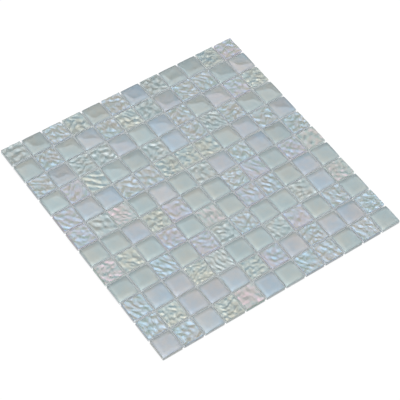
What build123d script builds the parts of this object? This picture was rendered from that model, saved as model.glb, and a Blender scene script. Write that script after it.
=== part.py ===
from build123d import *
from math import ceil, cos, hypot, radians, sin
import os

# A sheet of iridescent glass mosaic: square tiles, some smooth and some rippled, on a backing mesh.
# The sheet lies flat, face up. The origin is the middle of the sheet, at the underside of the mesh.

# Sheet
tiles_per_side = 12
tile_side = 23.0
tile_thickness = 4.0
joint_width = 2.0

# Tile edges
corner_chamfer = 0.8
arris_chamfer = 0.7

# Waves on the rippled tiles, measured across the crests
ripple_length = 5.75
ripple_depth = 0.42

# Backing mesh of flat glass-fibre threads in two layers
thread_pitch = 5.0
thread_width = 0.8
thread_thickness = 0.25
mesh_margin = 3.5

# Smooth kinds of tile, by their letter in the laying plan
smooth_kinds = {
    "s": "smooth_sage_tiles",
    "k": "smooth_sky_tiles",
    "l": "smooth_lilac_tiles",
}

# Rippled kinds of tile: the node's name, and the run of the wave crests in degrees from +X
rippled_kinds = {
    "P": ("rippled_pearl_tiles", -38.0),
    "G": ("rippled_gold_tiles", -30.0),
    "I": ("rippled_ice_tiles", -45.0),
    "L": ("rippled_lilac_tiles", -52.0),
    "R": ("rippled_rose_tiles", -34.0),
}

# Laying plan: a letter for each tile, the first row along the sheet's +Y edge, each row from -X to +X
laying_plan = [
    "PsIGsIkPssGL",
    "sIskIGPlIIsl",
    "IkPPlskIslLG",
    "sLGssPkIPIss",
    "LkkIIGGGslIk",
    "LPRslsPlIksI",
    "sslGLssILsLR",
    "RGsLsRsLIsls",
    "ssIsLPIssPkR",
    "IklGPssPLsIs",
    "IGllkGLlIllI",
    "lIkGRksIIsIs",
]

# Levels and spacings that follow from the sizes above
tile_pitch = tile_side + joint_width
sheet_side = tiles_per_side * tile_pitch - joint_width
warp_level = thread_thickness
tile_level = warp_level + thread_thickness
trough_level = tile_level + tile_thickness - ripple_depth
thread_run = sheet_side - 2 * mesh_margin
thread_count = int(thread_run // thread_pitch)

os.makedirs("parts", exist_ok=True)


def tile_places(letter):
    """Centres of the tiles of one kind, read off the laying plan."""
    places = []
    first_centre = (tile_side - sheet_side) / 2
    for row in range(tiles_per_side):
        letters = laying_plan[row % len(laying_plan)]
        for column in range(tiles_per_side):
            if letters[column % len(letters)] == letter:
                places.append((first_centre + column * tile_pitch, -first_centre - row * tile_pitch))
    return places


# Outline of every tile: a square with its corners taken off
with BuildSketch(Plane.XY.offset(tile_level)) as tile_outline:
    Rectangle(tile_side, tile_side)
    chamfer(tile_outline.vertices(), corner_chamfer)

# Smooth tile: flat, with its top arris softened
with BuildPart() as smooth_tile:
    extrude(tile_outline.sketch, amount=tile_thickness)
    chamfer(smooth_tile.faces().sort_by(Axis.Z)[-1].edges(), arris_chamfer)


def rippled_tile(crest_angle):
    """A tile whose top is a train of rounded crests, which meet in troughs and run at an angle."""
    along = (cos(radians(crest_angle)), sin(radians(crest_angle)), 0)
    across = (-along[1], along[0], 0)
    half_diagonal = hypot(tile_side, tile_side) / 2
    waves_each_way = ceil(half_diagonal / ripple_length)
    train_end = waves_each_way * ripple_length
    blank_thickness = tile_thickness + ripple_depth
    cut_height = 3 * ripple_depth

    with BuildPart() as tile:
        extrude(tile_outline.sketch, amount=blank_thickness)
        with BuildSketch(Plane(origin=(0, 0, trough_level), x_dir=across, z_dir=along)):
            with BuildLine():
                for wave in range(-waves_each_way, waves_each_way):
                    SagittaArc((wave * ripple_length, 0), ((wave + 1) * ripple_length, 0), ripple_depth)
                Polyline(
                    (train_end, 0),
                    (train_end, cut_height),
                    (-train_end, cut_height),
                    (-train_end, 0),
                )
            make_face()
        extrude(amount=half_diagonal, both=True, mode=Mode.SUBTRACT)
    return tile.part


# Smooth tiles in their places
for letter, name in smooth_kinds.items():
    with BuildPart() as smooth_tiles:
        with Locations(*tile_places(letter)):
            add(smooth_tile.part)
    smooth_tiles.part.label = name
    export_step(smooth_tiles.part, f"parts/{name}.step")

# Rippled tiles in their places
for letter, (name, crest_angle) in rippled_kinds.items():
    one_tile = rippled_tile(crest_angle)
    with BuildPart() as rippled_tiles:
        with Locations(*tile_places(letter)):
            add(one_tile)
    rippled_tiles.part.label = name
    export_step(rippled_tiles.part, f"parts/{name}.step")

# Weft threads: the lowest layer of the mesh, running along X
with BuildPart() as mesh_weft_threads:
    with BuildSketch(Plane.XY):
        with GridLocations(thread_pitch, thread_pitch, 1, thread_count):
            Rectangle(thread_run, thread_width)
    extrude(amount=thread_thickness)
mesh_weft_threads.part.label = "mesh_weft_threads"
export_step(mesh_weft_threads.part, "parts/mesh_weft_threads.step")

# Warp threads: they cross the weft along Y, against the backs of the tiles
with BuildPart() as mesh_warp_threads:
    with BuildSketch(Plane.XY.offset(warp_level)):
        with GridLocations(thread_pitch, thread_pitch, thread_count, 1):
            Rectangle(thread_width, thread_run)
    extrude(amount=thread_thickness)
mesh_warp_threads.part.label = "mesh_warp_threads"
export_step(mesh_warp_threads.part, "parts/mesh_warp_threads.step")
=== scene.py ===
import math

import bpy
import numpy as np
from mathutils import Matrix, Vector


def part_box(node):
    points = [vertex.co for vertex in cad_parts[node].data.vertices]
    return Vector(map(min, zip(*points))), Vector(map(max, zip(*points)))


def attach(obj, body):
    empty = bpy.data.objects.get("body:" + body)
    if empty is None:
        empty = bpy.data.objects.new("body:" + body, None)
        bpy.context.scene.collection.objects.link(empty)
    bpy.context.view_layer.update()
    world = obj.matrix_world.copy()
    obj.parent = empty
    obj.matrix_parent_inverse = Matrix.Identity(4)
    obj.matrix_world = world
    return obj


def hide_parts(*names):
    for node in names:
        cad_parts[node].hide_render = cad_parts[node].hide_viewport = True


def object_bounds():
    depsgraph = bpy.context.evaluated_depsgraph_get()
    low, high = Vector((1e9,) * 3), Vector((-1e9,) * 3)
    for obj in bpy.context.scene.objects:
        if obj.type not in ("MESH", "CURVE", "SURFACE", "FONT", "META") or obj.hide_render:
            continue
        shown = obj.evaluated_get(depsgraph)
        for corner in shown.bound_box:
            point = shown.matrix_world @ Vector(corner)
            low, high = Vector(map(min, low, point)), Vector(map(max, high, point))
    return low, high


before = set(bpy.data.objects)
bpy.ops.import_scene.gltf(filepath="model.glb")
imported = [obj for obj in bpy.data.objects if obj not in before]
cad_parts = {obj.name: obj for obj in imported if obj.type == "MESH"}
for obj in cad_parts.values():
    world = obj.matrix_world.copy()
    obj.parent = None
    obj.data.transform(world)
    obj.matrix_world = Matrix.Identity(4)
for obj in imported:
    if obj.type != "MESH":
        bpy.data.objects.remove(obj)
cad_low, cad_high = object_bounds()

# Sizes of the sheet, in metres
TILES_PER_SIDE = 12
JOINT = 0.002
SHEET_SIDE = cad_high.x - cad_low.x
TILE_PITCH = (SHEET_SIDE + JOINT) / TILES_PER_SIDE
TILE_HALF = (TILE_PITCH - JOINT) / 2
TILE_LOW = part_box("smooth_sage_tiles")[0].z
TILE_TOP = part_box("smooth_sage_tiles")[1].z
TILE_THICKNESS = TILE_TOP - TILE_LOW
GRID_CORNER = np.array(cad_low[:2]) - JOINT / 2

# Seed of the random draws
SEED = 11

# Rounding of the pressed glass, and the width of the darker shoulders along its edges, which are painted
# shade
CORNER_RADIUS = 0.0005
ARRIS_RADIUS = 0.0003
FOOT_RADIUS = 0.00015
BEVEL_RUN = 0.0006
BEVEL_DROP = 0.0003
BEVEL_END = 0.95
SHOULDER = 0.0016

# Grid steps of a tile's mesh: from its middle to the bevel, over the bevel, and round the arris
RIPPLED_STEPS = (20, 4, 2)
SMOOTH_STEPS = (6, 6, 3)

# Smooth tops: height of the dome, slope and start of the margins, and how much tiles lean and differ
DOME = 0.0001
DOME_SPREAD = 0.00003
TWIST_SPREAD = 0.00006
MARGIN_SLOPE = 0.13
MARGIN_START = 0.72
MARGIN_EASE = 0.06
LEAN_DEGREES = 0.4

# Ripples: waves in each sum, the way they face and how far their headings spread
RIPPLE_WAVES = 10
RIPPLE_HEADING = math.radians(27)
HEADING_SPREAD = 1.3

# Creases of the ripples: their share, their half width, and how much longer their waves are
CREASE_SHARE = 0.8
CREASE_WIDTH = 0.0002
CREASE_STRETCH = 1.5

# How slow sines bend and swell the ripples, and how far the swing of different tiles is evened out
BEND = 0.0009
BEND_LENGTHS = (0.0031, 0.0034)
SWELL = 0.2
SWELL_LENGTHS = (0.0043, 0.0047)
EVENING = 0.6

# Tiles with long, even waves, as column and row from the sheet's -X -Y corner, and how they differ
LONG_WAVE_TILES = {
    (9, 10), (0, 9), (2, 8), (4, 7), (1, 6), (8, 5),
    (1, 4), (8, 4), (2, 3), (0, 2), (4, 2), (10, 0),
}
LONG_HEADING_SPREAD = 0.5
LONG_CREASES = 0.5
LONG_SLOPE = 0.86

# How far tiles lie off the grid, as typical values, with a limit to the shift in multiples of it
LAY_SHIFT = 0.00012
LAY_LIMIT = 2
LAY_TURN = math.radians(0.25)

# Brightness of a tile's body, how much tiles differ in it, and how much paler they are at the rim with
# painted light
PALE_LEVEL = 1.02
PALE_SPREAD_SMOOTH = 0.035
PALE_SPREAD_RIPPLED = 0.02
PAINTED_RIM_LIGHT = 0.22

# Share of the second body tint at a tile's middle, and its largest change from there to an edge
TINT_LEVELS = (0.2, 0.8)
TINT_GRADE = 0.45

# Mesh threads: sides of the section, the power that squares its oval, and its narrowing between crossings
THREAD_SIDES = 8
THREAD_POWER = 0.6
THREAD_NARROWING = 0.08

# Look of the threads: angle that the strands' sine runs through round a thread, and two tints
STRAND_ANGLE = 90.0
THREAD_TINTS = ((0.50, 0.52, 0.51, 1), (0.66, 0.68, 0.67, 1))

# Studio floor: half its side, its share of even glow, and the glow's colours under the sheet, where its grey
# is painted shade, and in the open
FLOOR_REACH = 12.0
FLOOR_GLOW = 0.85
PAINTED_SHADE_FLOOR = (0.385, 0.425, 0.435, 1)
OPEN_FLOOR = (1.0, 1.0, 1.0, 1)

# Where the open floor begins, from inside to outside the sheet's edge, and how far it reaches into the
# joints; short of it the grey painted shade lies as a thin contact shadow just past the sheet's edge
OPEN_EDGE = (-0.0003, 0.0005)
OPEN_JOINT = 0.0012

# Overhead glow of the studio light, and the heights between which its dome fades in over the white horizon
GLOW = 2.9
GLOW_WIDTH = 0.075
HORIZON = (0.08, 0.40)

# Edge of the light's dim far side, and the light by the distance past that edge
DIM_EDGE = 0.699
DIM_SKEW = 0.1
DIM_REACH = 0.15
DIM_STEPS = [
    (-0.12, (1.12, 1.15, 1.16)),
    (-0.04, (1.36, 1.40, 1.42)),
    (-0.0008, (1.62, 1.67, 1.70)),
    (0.0008, (0.22, 0.22, 0.21)),
    (0.020, (0.50, 0.50, 0.48)),
    (0.035, (0.92, 0.92, 0.89)),
    (0.060, (0.72, 0.72, 0.72)),
    (0.120, (0.38, 0.38, 0.40)),
]

# Share of the light that is left on the right of the dim side, where that part lies, and its soft edges
DIM_RIGHT = (0.80, 0.77, 0.83)
RIGHT_EDGE = 0.86
RIGHT_FADE = 0.03
FAR_FADE = 0.006

# Share of the light that is left on the near side, and the y between which it falls to that
DIM_NEAR = 0.75
NEAR_FADE = (-0.05, -0.75)

# Camera at the photograph's viewing angle
CAMERA_AZIMUTH = math.radians(-41.345)
CAMERA_ELEVATION = math.radians(53.798)
CAMERA_ROLL = math.radians(7.081)
CAMERA_DISTANCE = 1.5332
CAMERA_TARGET = Vector((-0.00861, -0.01364, 0.0))
CAMERA_LENS = 133.375

# The eight kinds of glass: two body tints, the iridescent film's thickness in nanometres and its refractive
# index, and the weight of the clear coat. The rippled kinds also have a typical slope and a range of lengths.
GLASS_KINDS = {
    "smooth_sage_tiles": {
        "slot": "sage_glass", "body": (0.255, 0.299, 0.301), "blush": (0.31, 0.309, 0.278),
        "film": 235, "film_ior": 1.6, "coat": 1.0,
    },
    "smooth_sky_tiles": {
        "slot": "sky_glass", "body": (0.255, 0.315, 0.36), "blush": (0.325, 0.32, 0.305),
        "film": 215, "film_ior": 1.6, "coat": 1.0,
    },
    "smooth_lilac_tiles": {
        "slot": "lilac_glass", "body": (0.24, 0.315, 0.345), "blush": (0.32, 0.325, 0.295),
        "film": 365, "film_ior": 1.6, "coat": 1.0,
    },
    "rippled_pearl_tiles": {
        "slot": "rippled_pearl_glass", "body": (0.232, 0.291, 0.293), "blush": (0.288, 0.294, 0.266),
        "film": 65, "film_ior": 1.75, "coat": 0.7, "slope": 0.151, "lengths": (0.0034, 0.0100),
    },
    "rippled_gold_tiles": {
        "slot": "rippled_gold_glass", "body": (0.222, 0.299, 0.328), "blush": (0.28, 0.303, 0.283),
        "film": 94, "film_ior": 1.75, "coat": 0.5, "slope": 0.166, "lengths": (0.0034, 0.0100),
    },
    "rippled_ice_tiles": {
        "slot": "rippled_ice_glass", "body": (0.295, 0.352, 0.312), "blush": (0.352, 0.34, 0.284),
        "film": 184, "film_ior": 1.75, "coat": 0.8, "slope": 0.22, "lengths": (0.0034, 0.0100),
    },
    "rippled_lilac_tiles": {
        "slot": "rippled_lilac_glass", "body": (0.295, 0.375, 0.33), "blush": (0.365, 0.365, 0.30),
        "film": 330, "film_ior": 1.78, "coat": 0.4, "slope": 0.158, "lengths": (0.0037, 0.0105),
    },
    "rippled_rose_tiles": {
        "slot": "rippled_rose_glass", "body": (0.27, 0.35, 0.365), "blush": (0.328, 0.332, 0.336),
        "film": 452, "film_ior": 1.7, "coat": 0.45, "slope": 0.135, "lengths": (0.0037, 0.0105),
    },
}


# Tile and thread shapes
def smoothstep(low, high, value):
    """Rises from 0 at low to 1 at high along 3t^2 - 2t^3."""
    t = np.clip((value - low) / (high - low), 0.0, 1.0)
    return t * t * (3.0 - 2.0 * t)


def node_points(node):
    """Vertices of a CAD node, as rows of x, y and z."""
    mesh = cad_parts[node].data
    points = np.empty(len(mesh.vertices) * 3, np.float32)
    mesh.vertices.foreach_get("co", points)
    return points.reshape(-1, 3)


def tile_cells(node):
    """Column and row of each tile of a node: the cells of the tile grid that its vertices lie in."""
    cells = np.floor((node_points(node)[:, :2] - GRID_CORNER) / TILE_PITCH).astype(int)
    return np.unique(cells, axis=0)


def tile_centres(cells):
    """Middle of each cell of the tile grid."""
    return GRID_CORNER + (cells + 0.5) * TILE_PITCH


def unrolled_knots(top_steps, bevel_steps, arris_steps):
    """Grid lines from the tile's middle outwards, measured along its skin: over the top, closer together
    over the bevel, round the arris, down the wall and round the foot, and the same on the other side."""
    top = np.linspace(0.0, TILE_HALF - BEVEL_RUN, top_steps + 1)
    bevel = top[-1] + (BEVEL_RUN - ARRIS_RADIUS) * np.linspace(0, 1, bevel_steps + 1)[1:]
    arris = bevel[-1] + ARRIS_RADIUS * math.pi / 2 * np.linspace(0, 1, arris_steps + 1)[1:]
    wall = arris[-1:] + TILE_THICKNESS - ARRIS_RADIUS - FOOT_RADIUS
    foot = wall + FOOT_RADIUS * math.pi / 2
    half = np.concatenate([top, bevel, arris, wall, foot])
    return np.concatenate([-half[:0:-1], half])


def wrapped_square(knots):
    """A square cloth laid over a tile. A grid point keeps its place on the flat top. Past the inner square,
    whose sides lie one corner radius in from the walls, its larger overshoot is a distance along the skin:
    out on the top, round a quarter circle at the arris, down the wall and round the foot. The overshoot's
    direction turns evenly round the corners. Gives x, y, the drop below the top, and the share of the wall
    that lies above the point."""
    across, along = np.meshgrid(knots, knots, indexing="ij")
    inner = TILE_HALF - CORNER_RADIUS
    reach_x, reach_y = np.abs(across), np.abs(along)
    over_x, over_y = np.maximum(reach_x - inner, 0), np.maximum(reach_y - inner, 0)
    skin = np.maximum(over_x, over_y)
    length = np.hypot(over_x, over_y) + 1e-12

    flat_end = CORNER_RADIUS - ARRIS_RADIUS
    arris_angle = np.clip((skin - flat_end) / ARRIS_RADIUS, 0, math.pi / 2)
    wall_start = flat_end + ARRIS_RADIUS * math.pi / 2
    wall_height = TILE_THICKNESS - ARRIS_RADIUS - FOOT_RADIUS
    wall_run = np.clip(skin - wall_start, 0, wall_height)
    foot_angle = np.clip((skin - wall_start - wall_height) / FOOT_RADIUS, 0, math.pi / 2)
    out = np.minimum(skin, flat_end) + ARRIS_RADIUS * np.sin(arris_angle)
    out = out - FOOT_RADIUS * (1 - np.cos(foot_angle))
    drop = ARRIS_RADIUS * (1 - np.cos(arris_angle)) + wall_run + FOOT_RADIUS * np.sin(foot_angle)

    x = np.sign(across) * (np.minimum(reach_x, inner) + out * over_x / length)
    y = np.sign(along) * (np.minimum(reach_y, inner) + out * over_y / length)
    return x, y, drop, wall_run / wall_height


def bevel_fall(x, y):
    """Fall of the top towards its edges: a quarter ellipse across each edge, 1 - sqrt(1 - t^2), where t grows
    from 0 at the bevel's start to nearly 1 at the edge. At a corner the two falls join as a cubic mean."""
    falls = []
    for reach in (np.abs(x), np.abs(y)):
        t = np.clip((reach - TILE_HALF + BEVEL_RUN) / BEVEL_RUN, 0, BEVEL_END)
        falls.append(1 - np.sqrt(1 - t * t))
    return -BEVEL_DROP * np.cbrt(falls[0] ** 3 + falls[1] ** 3)


def crowned_top(x, y, count, rng):
    """Height of a smooth top: a shallow dome -d(u^2 + v^2) with margins that slope down past a share of the
    half side, -slope (m + sqrt(m^2 + ease^2)) / 2 for the distance m past it. Each tile has a lean, a slight
    saddle s(u^2 - v^2) and a twist tuv of its own."""
    u, v = x / TILE_HALF, y / TILE_HALF
    dome = DOME + DOME_SPREAD * rng.standard_normal((count, 1, 1))
    saddle = DOME_SPREAD * rng.standard_normal((count, 1, 1))
    twist = TWIST_SPREAD * rng.standard_normal((count, 1, 1))
    lean = math.radians(LEAN_DEGREES) * TILE_HALF * rng.standard_normal((count, 2, 1, 1))
    height = -dome * (u * u + v * v) + saddle * (u * u - v * v) + twist * u * v
    for share in (u, v):
        past = np.abs(share) - MARGIN_START
        height = height - MARGIN_SLOPE * TILE_HALF * (past + np.hypot(past, MARGIN_EASE)) / 2
    return height + lean[:, 0] * u + lean[:, 1] * v


def wave_sum(x, y, heading, lengths, rng):
    """Sum of plane waves length cos(2 pi s / length + phase), where s is the distance along a wave's own
    heading, scaled to a typical slope of 1."""
    count, waves = heading.shape
    length = rng.uniform(*lengths, (count, waves, 1, 1))
    phase = rng.uniform(0, 2 * math.pi, (count, waves, 1, 1))
    height = np.zeros((count,) + x.shape[-2:])
    for wave in range(waves):
        turn = heading[:, wave, None, None]
        along = x * np.cos(turn) + y * np.sin(turn)
        height += length[:, wave] * np.cos(2 * math.pi * along / length[:, wave] + phase[:, wave])
    return height / (2 * math.pi * math.sqrt(waves / 2))


def rippled_top(x, y, cells, slope, lengths, rng):
    """Height of a rippled top: a sum of waves plus creases, sqrt(g^2 + width^2), where g is a second sum of
    longer waves. Both lie on a ground that slow sines bend sideways. The tile's mean height and slope are
    taken away, its swing is brought closer to the other tiles', and slow sines swell it in places. Long-wave
    tiles have waves with headings close together, fewer creases and calmer slopes."""
    count = len(cells)
    long_waves = np.array([tuple(cell) in LONG_WAVE_TILES for cell in cells])[:, None]
    phase = rng.uniform(0, 2 * math.pi, (count, 2, 1, 1))
    bent_x = x + BEND * np.sin(y / BEND_LENGTHS[0] + phase[:, 0])
    bent_y = y + BEND * np.sin(x / BEND_LENGTHS[1] + phase[:, 1])
    heading_spread = np.where(long_waves, LONG_HEADING_SPREAD, HEADING_SPREAD)
    headings = RIPPLE_HEADING + rng.standard_normal((2, count, RIPPLE_WAVES)) * heading_spread
    ripples = wave_sum(bent_x, bent_y, headings[0], lengths, rng)
    ground = wave_sum(bent_x, bent_y, headings[1], np.array(lengths) * CREASE_STRETCH, rng)
    share = np.where(long_waves, LONG_CREASES, 1.0)[:, :, None] * CREASE_SHARE
    height = (ripples + share * np.hypot(ground, CREASE_WIDTH)) / np.sqrt(1 + share ** 2)

    height = height - height.mean(axis=(1, 2), keepdims=True)
    for way in (x, y):
        height -= (height * way).sum(axis=(1, 2), keepdims=True) / (way * way).sum() * way
    swing = height.std(axis=(1, 2), keepdims=True)
    height = height * (swing.mean() / swing) ** EVENING
    swell_x = np.sin(x / SWELL_LENGTHS[0] + phase[:, 1])
    swell_y = np.sin(y / SWELL_LENGTHS[1] + phase[:, 0])
    calm = np.where(long_waves, LONG_SLOPE, 1.0)[:, :, None]
    return slope * calm * (1 + SWELL * swell_x * swell_y) * height


def tile_quads(count, side):
    """Corner indices of the grid quads and of each tile's foot, for tiles of side x side points."""
    first = np.arange(side * side).reshape(side, side)
    quads = np.stack([first[:-1, :-1], first[1:, :-1], first[1:, 1:], first[:-1, 1:]], -1).reshape(-1, 4)
    rim = np.concatenate([first[0, :-1], first[:-1, -1], first[-1, :0:-1], first[:0:-1, 0]])
    offset = np.arange(count)[:, None, None] * side * side
    return (quads[None] + offset).reshape(-1, 4), rim[None] + offset[:, 0]


def mesh_from_arrays(name, points, quads, caps, attributes):
    """A mesh from arrays of points, of quads and of caps with many corners, smooth but for the caps."""
    mesh = bpy.data.meshes.new(name)
    mesh.vertices.add(len(points))
    mesh.vertices.foreach_set("co", points.astype(np.float32).ravel())
    corners = np.concatenate([quads.ravel(), caps.ravel()]).astype(np.int32)
    mesh.loops.add(len(corners))
    mesh.loops.foreach_set("vertex_index", corners)
    quad_starts = np.arange(len(quads)) * 4
    cap_starts = len(quads) * 4 + np.arange(len(caps)) * caps.shape[1]
    starts = np.concatenate([quad_starts, cap_starts]).astype(np.int32)
    mesh.polygons.add(len(starts))
    mesh.polygons.foreach_set("loop_start", starts)
    smooth = np.arange(len(starts)) < len(quads)
    mesh.polygons.foreach_set("use_smooth", smooth)
    mesh.update(calc_edges=True)
    mesh.validate()
    for title, values in attributes.items():
        layer = mesh.attributes.new(title, "FLOAT", "POINT")
        layer.data.foreach_set("value", values.astype(np.float32).ravel())
    return mesh


def tint_drift(x, y, count, rng):
    """Share of the second body tint: an even grade across a tile, a + bu + cv, with a, b and c of its own."""
    level = rng.uniform(*TINT_LEVELS, (count, 1, 1))
    grade = rng.uniform(-TINT_GRADE, TINT_GRADE, (count, 2, 1, 1))
    return np.clip(level + grade[:, 0] * x / TILE_HALF + grade[:, 1] * y / TILE_HALF, 0, 1)


def tone_and_rim_light(x, y, rippled, count, rng):
    """Brightness of the body: a level of the tile's own, which rises with the fourth power of the share of
    the way from its middle to its rim. The rise is painted light along the glass's edges."""
    rim = np.maximum(np.abs(x), np.abs(y)) / TILE_HALF
    difference = PALE_SPREAD_RIPPLED if rippled else PALE_SPREAD_SMOOTH
    return PALE_LEVEL + difference * rng.standard_normal((count, 1, 1)) + PAINTED_RIM_LIGHT * rim ** 4


def joint_side(x, y, cells):
    """1 on the quarters of a tile that face a neighbour across a joint, 0 on those at the sheet's edge."""
    column, row = cells[:, 0, None, None], cells[:, 1, None, None]
    last = TILES_PER_SIDE - 1
    sideways = np.abs(x) > np.abs(y)
    at_edge = np.where(x < 0, column == 0, column == last) & sideways
    at_edge = at_edge | (np.where(y < 0, row == 0, row == last) & ~sideways)
    return 1.0 - at_edge


def glass_tiles(node, kind, rng):
    """All tiles of one node as one mesh: the wrapped square, lowered by its drop and bevel and raised by its
    relief. Bevel and relief shorten the wall below them, so that the foot stays level. Each tile is turned
    and shifted a little off the grid. The attributes guide the glass's colour, and with it the painted light
    and shade on rims, shoulders and walls."""
    cells = tile_cells(node)
    count = len(cells)
    rippled = "slope" in kind
    knots = unrolled_knots(*(RIPPLED_STEPS if rippled else SMOOTH_STEPS))
    side = len(knots)
    x, y, drop, wall_share = wrapped_square(knots)
    if rippled:
        relief = rippled_top(x, y, cells, kind["slope"], kind["lengths"], rng)
    else:
        relief = crowned_top(x, y, count, rng)
    relief = relief + bevel_fall(x, y)
    relief = relief - relief.max(axis=(1, 2), keepdims=True)

    every_tile = np.ones((count, 1, 1))
    past_edge = np.maximum(np.abs(x), np.abs(y)) - TILE_HALF
    # Besides the tint and the joint side, these masks place painted light and shade: the walls, their depth,
    # the shoulders along the edges and the rim's rise in brightness
    attributes = {
        "tint": tint_drift(x, y, count, rng),
        "wall": smoothstep(0.0, ARRIS_RADIUS, drop) * every_tile,
        "depth": np.sqrt(wall_share) * every_tile,
        # Mask of the shoulders along the edges, which painted shade darkens
        "shoulder_shade": smoothstep(-SHOULDER, 0.0, past_edge) * every_tile,
        "tone_and_rim_light": tone_and_rim_light(x, y, rippled, count, rng),
        "joint": joint_side(x, y, cells),
    }

    shift = LAY_SHIFT * np.clip(rng.standard_normal((count, 2)), -LAY_LIMIT, LAY_LIMIT)
    turn = LAY_TURN * rng.standard_normal((count, 1, 1))
    centre = tile_centres(cells) + shift
    points = np.empty((count, side, side, 3))
    points[..., 0] = x * np.cos(turn) - y * np.sin(turn) + centre[:, 0, None, None]
    points[..., 1] = x * np.sin(turn) + y * np.cos(turn) + centre[:, 1, None, None]
    points[..., 2] = TILE_TOP - drop + relief * (1 - wall_share)
    quads, feet = tile_quads(count, side)
    return mesh_from_arrays(node, points.reshape(-1, 3), quads, feet, attributes)


def thread_layer(node, along_x):
    """All threads of one layer as one mesh: a flattened oval section carried along each thread, a little
    wider where threads cross than between the crossings."""
    low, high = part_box(node)
    points = node_points(node)
    sides = points[:, 1] if along_x else points[:, 0]
    levels = np.unique(np.round(sides, 5))
    middles = (levels[0::2] + levels[1::2]) / 2
    width = levels[1] - levels[0]
    pitch = middles[1] - middles[0]
    ends = (low.x, high.x) if along_x else (low.y, high.y)
    runs = np.concatenate([[ends[0]], np.arange(middles[0], middles[-1] + pitch / 4, pitch / 2), [ends[1]]])
    crossing = np.cos(2 * math.pi * (runs - middles[0]) / pitch)
    swell = 1 - THREAD_NARROWING + THREAD_NARROWING * crossing

    angle = 2 * math.pi * np.arange(THREAD_SIDES) / THREAD_SIDES
    out = np.sign(np.cos(angle)) * np.abs(np.cos(angle)) ** THREAD_POWER * width / 2
    up = np.sign(np.sin(angle)) * np.abs(np.sin(angle)) ** THREAD_POWER * (high.z - low.z) / 2
    shape = (len(middles), len(runs), THREAD_SIDES)
    across = middles[:, None, None] + out * swell[:, None]
    along = np.broadcast_to(runs[:, None], shape)
    height = np.broadcast_to((low.z + high.z) / 2 + up, shape)
    ordered = (along, across, height) if along_x else (across, along, height)
    grid = np.stack(ordered, -1)

    index = np.arange(math.prod(shape)).reshape(shape)
    turned = np.roll(index, -1, axis=2)
    quads = np.stack([index[:, :-1], index[:, 1:], turned[:, 1:], turned[:, :-1]], -1).reshape(-1, 4)
    caps = np.concatenate([index[:, 0], index[:, -1, ::-1]])
    if along_x:
        quads, caps = quads[:, ::-1], caps[:, ::-1]
    fibre = np.broadcast_to(angle / (2 * math.pi), shape)
    return mesh_from_arrays(node, grid.reshape(-1, 3), quads, caps, {"fibre": fibre})


def lay_piece(name, mesh, material, node):
    """Puts a finished mesh into the scene in a node's stead."""
    piece = bpy.data.objects.new(name, mesh)
    bpy.context.scene.collection.objects.link(piece)
    mesh.materials.append(material)
    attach(piece, "root")
    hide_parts(node)


# Shader node helpers
def group_socket(group, name, way, kind, value=None):
    """Adds a named input or output to a shader node group."""
    socket = group.interface.new_socket(name=name, in_out=way, socket_type=kind)
    if value is not None:
        socket.default_value = value


def attribute_node(tree, name):
    """Value of a mesh's own attribute."""
    node = tree.nodes.new("ShaderNodeAttribute")
    node.attribute_name = name
    return node.outputs["Fac"]


def object_place(tree):
    """Place on the object, in metres."""
    return tree.nodes.new("ShaderNodeTexCoord").outputs["Object"]


def math_node(tree, operation, *values):
    """Result of one step of arithmetic on numbers or on other nodes' values."""
    node = tree.nodes.new("ShaderNodeMath")
    node.operation = operation
    for socket, value in zip(node.inputs, values):
        if isinstance(value, (int, float)):
            socket.default_value = value
        else:
            tree.links.new(value, socket)
    return node.outputs[0]


def mix_colour(tree, factor, first, second, blend="MIX"):
    """First colour at factor 0, second or its blend with the first at factor 1."""
    node = tree.nodes.new("ShaderNodeMix")
    node.data_type = "RGBA"
    node.blend_type = blend
    for socket, value in ((node.inputs[0], factor), (node.inputs[6], first), (node.inputs[7], second)):
        if isinstance(value, (int, float, tuple)):
            socket.default_value = value
        else:
            tree.links.new(value, socket)
    return node.outputs[2]


def noise(tree, place, scale, detail):
    """Soft noise with about scale bumps to the metre."""
    node = tree.nodes.new("ShaderNodeTexNoise")
    node.inputs["Scale"].default_value = scale
    node.inputs["Detail"].default_value = detail
    tree.links.new(place, node.inputs["Vector"])
    return node.outputs["Fac"]


def soft_rise(tree, value, low, high):
    """Rises smoothly from 0 at low to 1 at high."""
    node = tree.nodes.new("ShaderNodeMapRange")
    node.interpolation_type = "SMOOTHSTEP"
    node.inputs["From Min"].default_value = low
    node.inputs["From Max"].default_value = high
    tree.links.new(value, node.inputs["Value"])
    return node.outputs["Result"]


def shader_material(name):
    """A material with a Principled shader on its surface. Gives the material, its tree and the shader."""
    material = bpy.data.materials.new(name)
    material.use_nodes = True
    tree = material.node_tree
    tree.nodes.clear()
    end = tree.nodes.new("ShaderNodeOutputMaterial")
    shader = tree.nodes.new("ShaderNodeBsdfPrincipled")
    tree.links.new(shader.outputs[0], end.inputs["Surface"])
    return material, tree, shader


def bump_normal(tree, shader, height, strength, distance):
    """Lets a height tilt a shader's normal."""
    bump = tree.nodes.new("ShaderNodeBump")
    bump.inputs["Strength"].default_value = strength
    bump.inputs["Distance"].default_value = distance
    tree.links.new(height, bump.inputs["Height"])
    tree.links.new(bump.outputs["Normal"], shader.inputs["Normal"])


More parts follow.
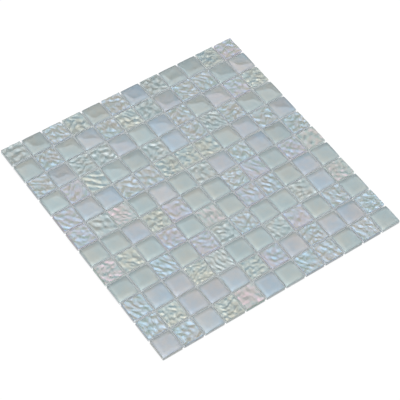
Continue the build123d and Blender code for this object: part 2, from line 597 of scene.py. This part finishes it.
# Materials
def milky_glass_group():
    """Colour, roughness and fine surface of milky glass: two body tints that drift and mottle through the
    tile, a little paler towards its rim with painted light, and with darker shoulders along its edges in
    painted shade. Walls at the sheet's edge are grey and darken to the foot in painted shade. Walls in a
    joint pale with depth in painted light, standing in for the light that neighbours pass on."""
    group = bpy.data.node_groups.new("milky_glass", "ShaderNodeTree")
    group_socket(group, "Body", "INPUT", "NodeSocketColor", (0.3, 0.33, 0.33, 1))
    group_socket(group, "Blush", "INPUT", "NodeSocketColor", (0.33, 0.33, 0.34, 1))
    group_socket(group, "Mottle", "INPUT", "NodeSocketFloat", 0.5)
    # The shoulders' and outer walls' colours are painted shade, darker to the foot; the joint walls' colours
    # are painted light, paler with depth
    group_socket(group, "Shoulder Shade", "INPUT", "NodeSocketColor", (0.228, 0.265, 0.27, 1))
    group_socket(group, "Shaded Outer Wall", "INPUT", "NodeSocketColor", (0.175, 0.207, 0.202, 1))
    group_socket(group, "Shaded Outer Foot", "INPUT", "NodeSocketColor", (0.122, 0.146, 0.143, 1))
    group_socket(group, "Lit Joint Wall", "INPUT", "NodeSocketColor", (0.61, 0.645, 0.65, 1))
    group_socket(group, "Lit Deep Wall", "INPUT", "NodeSocketColor", (0.97, 0.985, 0.985, 1))
    group_socket(group, "Color", "OUTPUT", "NodeSocketColor")
    group_socket(group, "Roughness", "OUTPUT", "NodeSocketFloat")
    group_socket(group, "Height", "OUTPUT", "NodeSocketFloat")
    start = group.nodes.new("NodeGroupInput")
    end = group.nodes.new("NodeGroupOutput")
    place = object_place(group)

    cloud = soft_rise(group, noise(group, place, scale=170, detail=2), 0.3, 0.7)
    mottle = math_node(group, "SUBTRACT", cloud, 0.5)
    tint = math_node(group, "MULTIPLY_ADD", mottle, start.outputs["Mottle"], attribute_node(group, "tint"))
    body = mix_colour(group, tint, start.outputs["Body"], start.outputs["Blush"])
    # The body is scaled by the tile's own tone and by painted light that rises towards its rim
    paler = group.nodes.new("ShaderNodeVectorMath")
    paler.operation = "SCALE"
    group.links.new(body, paler.inputs[0])
    group.links.new(attribute_node(group, "tone_and_rim_light"), paler.inputs["Scale"])

    joint = attribute_node(group, "joint")
    depth = attribute_node(group, "depth")
    # Painted shade on the shoulders and outer walls, painted light on the joint walls
    rim = mix_colour(group, joint, start.outputs["Shaded Outer Wall"], start.outputs["Shoulder Shade"])
    top = mix_colour(group, attribute_node(group, "shoulder_shade"), paler.outputs[0], rim)
    inner = mix_colour(group, depth, start.outputs["Lit Joint Wall"], start.outputs["Lit Deep Wall"])
    outer = mix_colour(group, depth, start.outputs["Shaded Outer Wall"], start.outputs["Shaded Outer Foot"])
    side = mix_colour(group, joint, outer, inner)
    colour = mix_colour(group, attribute_node(group, "wall"), top, side)
    group.links.new(colour, end.inputs["Color"])

    haze = noise(group, place, scale=420, detail=4)
    group.links.new(math_node(group, "MULTIPLY_ADD", haze, 0.04, 0.015), end.inputs["Roughness"])
    group.links.new(noise(group, place, scale=360, detail=2), end.inputs["Height"])
    return group


def glass_material(kind, group):
    """Iridescent glass: the milky body under a thin film that tints its gloss, with a clear coat."""
    rippled = "slope" in kind
    material, tree, shader = shader_material(kind["slot"])
    glass = tree.nodes.new("ShaderNodeGroup")
    glass.node_tree = group
    glass.inputs["Body"].default_value = (*kind["body"], 1)
    glass.inputs["Blush"].default_value = (*kind["blush"], 1)
    glass.inputs["Mottle"].default_value = 0.9 if rippled else 0.4
    tree.links.new(glass.outputs["Color"], shader.inputs["Base Color"])
    tree.links.new(glass.outputs["Roughness"], shader.inputs["Roughness"])
    bump_normal(tree, shader, glass.outputs["Height"], strength=0.8 if rippled else 0.025, distance=0.0002)
    shader.inputs["IOR"].default_value = 1.5
    shader.inputs["Subsurface Weight"].default_value = 0.8
    shader.inputs["Subsurface Scale"].default_value = 0.003
    shader.inputs["Subsurface Radius"].default_value = (1.0, 1.0, 1.0)
    shader.inputs["Coat Weight"].default_value = kind["coat"]
    shader.inputs["Coat Roughness"].default_value = 0.02
    shader.inputs["Coat IOR"].default_value = 1.65
    shader.inputs["Thin Film Thickness"].default_value = kind["film"]
    shader.inputs["Thin Film IOR"].default_value = kind["film_ior"]
    return material


def thread_material():
    """Coated glass-fibre roving: off-white, with fine streaks along the fibres and a dull sheen."""
    material, tree, shader = shader_material("fibreglass_thread")
    fibre = math_node(tree, "MULTIPLY", attribute_node(tree, "fibre"), STRAND_ANGLE)
    strands = math_node(tree, "SINE", fibre)
    patchy = noise(tree, object_place(tree), scale=300, detail=3)
    streak = math_node(tree, "MULTIPLY", math_node(tree, "ADD", strands, patchy), 0.5)
    colour = mix_colour(tree, soft_rise(tree, streak, -0.4, 0.8), *THREAD_TINTS)
    tree.links.new(colour, shader.inputs["Base Color"])
    tree.links.new(math_node(tree, "MULTIPLY_ADD", patchy, 0.3, 0.4), shader.inputs["Roughness"])
    bump_normal(tree, shader, streak, strength=0.4, distance=0.0001)
    return material


# Studio
def floor_material():
    """White, and mostly an even glow for the camera and for mirrored rays, so that the ground stays white and
    keeps a soft shadow. Under the sheet, where the joints look down on it, the glow is grey: painted shade
    for the shadow beneath the tiles, which also lies as a thin painted contact shadow just past the sheet's
    edge.
    The open floor's white reaches a little way into the joints, and the floor's underside is white all over."""
    material = bpy.data.materials.new("studio_floor")
    material.use_nodes = True
    tree = material.node_tree
    tree.nodes.clear()
    end = tree.nodes.new("ShaderNodeOutputMaterial")
    matt = tree.nodes.new("ShaderNodeBsdfDiffuse")
    glow = tree.nodes.new("ShaderNodeEmission")
    paths = tree.nodes.new("ShaderNodeLightPath")
    underside = tree.nodes.new("ShaderNodeNewGeometry").outputs["Backfacing"]
    mix = tree.nodes.new("ShaderNodeMixShader")
    spot = tree.nodes.new("ShaderNodeSeparateXYZ")
    tree.links.new(object_place(tree), spot.inputs[0])

    reach = [math_node(tree, "ABSOLUTE", spot.outputs[axis]) for axis in ("X", "Y")]
    from_joint = math_node(tree, "PINGPONG", math_node(tree, "MINIMUM", *reach), TILE_PITCH / 2)
    in_joint = math_node(tree, "LESS_THAN", from_joint, JOINT / 2)
    away = math_node(tree, "MULTIPLY_ADD", in_joint, OPEN_JOINT, math_node(tree, "MAXIMUM", *reach))
    outside = soft_rise(tree, away, SHEET_SIDE / 2 + OPEN_EDGE[0], SHEET_SIDE / 2 + OPEN_EDGE[1])
    white = math_node(tree, "MAXIMUM", outside, underside)
    # The grey glow under the sheet is painted shade; the open floor's glow is plain white
    shade = mix_colour(tree, white, PAINTED_SHADE_FLOOR, OPEN_FLOOR)
    tree.links.new(shade, glow.inputs["Color"])
    matt.inputs["Color"].default_value = (0.9, 0.9, 0.9, 1)
    seen = math_node(tree, "MAXIMUM", paths.outputs["Is Camera Ray"], paths.outputs["Is Glossy Ray"])
    tree.links.new(math_node(tree, "MULTIPLY", seen, FLOOR_GLOW), mix.inputs[0])
    tree.links.new(matt.outputs[0], mix.inputs[1])
    tree.links.new(glow.outputs[0], mix.inputs[2])
    tree.links.new(mix.outputs[0], end.inputs["Surface"])
    return material


def studio_floor():
    """A wide white floor at the sheet's underside."""
    mesh = bpy.data.meshes.new("studio_floor")
    ways = ((-1, -1), (1, -1), (1, 1), (-1, 1))
    mesh.from_pydata([(x * FLOOR_REACH, y * FLOOR_REACH, 0) for x, y in ways], [], [(0, 1, 2, 3)])
    mesh.materials.append(floor_material())
    floor = bpy.data.objects.new("studio_floor", mesh)
    bpy.context.scene.collection.objects.link(floor)


def studio_world():
    """Soft light from all round: pale, brightest overhead with a glow exp(-(1 - z) / width), and white at the
    horizon. The low part of the far side is dim past the edge y + skew x = edge z, and a little dimmer still
    on its right. The near side is a little dimmer than the rest."""
    world = bpy.data.worlds.new("studio")
    bpy.context.scene.world = world
    world.use_nodes = True
    tree = world.node_tree
    tree.nodes.clear()
    end = tree.nodes.new("ShaderNodeOutputWorld")
    sky = tree.nodes.new("ShaderNodeBackground")
    lamp = tree.nodes.new("ShaderNodeBackground")
    both = tree.nodes.new("ShaderNodeAddShader")
    split = tree.nodes.new("ShaderNodeSeparateXYZ")
    tree.links.new(tree.nodes.new("ShaderNodeTexCoord").outputs["Generated"], split.inputs[0])
    x, y, z = (split.outputs[axis] for axis in ("X", "Y", "Z"))

    far = math_node(tree, "MULTIPLY_ADD", x, DIM_SKEW, y)
    past_edge = math_node(tree, "MULTIPLY_ADD", z, -DIM_EDGE, far)
    steps = tree.nodes.new("ShaderNodeValToRGB")
    tree.links.new(math_node(tree, "MULTIPLY_ADD", past_edge, 0.5 / DIM_REACH, 0.5), steps.inputs[0])
    # A new ramp has two stops, and the others are added
    stops = steps.color_ramp.elements
    for number, (distance, light) in enumerate(DIM_STEPS):
        position = 0.5 + 0.5 * distance / DIM_REACH
        stop = stops[number] if number < 2 else stops.new(position)
        stop.position = position
        stop.color = (*light, 1)

    aside = math_node(tree, "MULTIPLY_ADD", y, -RIGHT_EDGE, x)
    far_part = soft_rise(tree, past_edge, -FAR_FADE, FAR_FADE)
    right = math_node(tree, "MULTIPLY", soft_rise(tree, aside, -RIGHT_FADE, RIGHT_FADE), far_part)
    shaded = mix_colour(tree, right, steps.outputs["Color"], (*DIM_RIGHT, 1), blend="MULTIPLY")
    above_horizon = soft_rise(tree, z, *HORIZON)
    tree.links.new(mix_colour(tree, above_horizon, (1.0, 1.0, 1.0, 1), shaded), sky.inputs["Color"])
    near = soft_rise(tree, y, *NEAR_FADE)
    tree.links.new(math_node(tree, "MULTIPLY_ADD", near, DIM_NEAR - 1, 1.0), sky.inputs["Strength"])

    rise = math_node(tree, "MULTIPLY_ADD", z, 1 / GLOW_WIDTH, -1 / GLOW_WIDTH)
    glow = math_node(tree, "MULTIPLY", math_node(tree, "POWER", math.e, rise), GLOW)
    tree.links.new(glow, lamp.inputs["Strength"])
    lamp.inputs["Color"].default_value = (1.0, 1.0, 1.0, 1)
    tree.links.new(sky.outputs[0], both.inputs[0])
    tree.links.new(lamp.outputs[0], both.inputs[1])
    tree.links.new(both.outputs[0], end.inputs["Surface"])


def photo_camera():
    """Camera at its distance from the target along the viewing angle, rolled about its own axis."""
    camera_data = bpy.data.cameras.new("camera")
    camera_data.lens = CAMERA_LENS
    camera_data.sensor_width = 36.0
    camera = bpy.data.objects.new("camera", camera_data)
    bpy.context.scene.collection.objects.link(camera)
    bpy.context.scene.camera = camera
    back = Vector((
        math.sin(CAMERA_AZIMUTH) * math.cos(CAMERA_ELEVATION),
        -math.cos(CAMERA_AZIMUTH) * math.cos(CAMERA_ELEVATION),
        math.sin(CAMERA_ELEVATION),
    ))
    right = Vector((0, 0, 1)).cross(back).normalized()
    up = back.cross(right)
    side = math.cos(CAMERA_ROLL) * right + math.sin(CAMERA_ROLL) * up
    top = -math.sin(CAMERA_ROLL) * right + math.cos(CAMERA_ROLL) * up
    turn = Matrix((side, top, back)).transposed().to_4x4()
    camera.matrix_world = Matrix.Translation(CAMERA_TARGET + back * CAMERA_DISTANCE) @ turn


# Glass tiles
glass_group = milky_glass_group()
for number, (node, kind) in enumerate(GLASS_KINDS.items()):
    rng = np.random.default_rng(SEED + number)
    tiles = glass_tiles(node, kind, rng)
    lay_piece(node + "_glass", tiles, glass_material(kind, glass_group), node)

# Backing mesh
thread = thread_material()
for node, along_x in (("mesh_weft_threads", True), ("mesh_warp_threads", False)):
    lay_piece(node + "_strands", thread_layer(node, along_x), thread, node)

# Studio and camera
studio_floor()
studio_world()
photo_camera()
bpy.context.scene.view_settings.view_transform = "Standard"
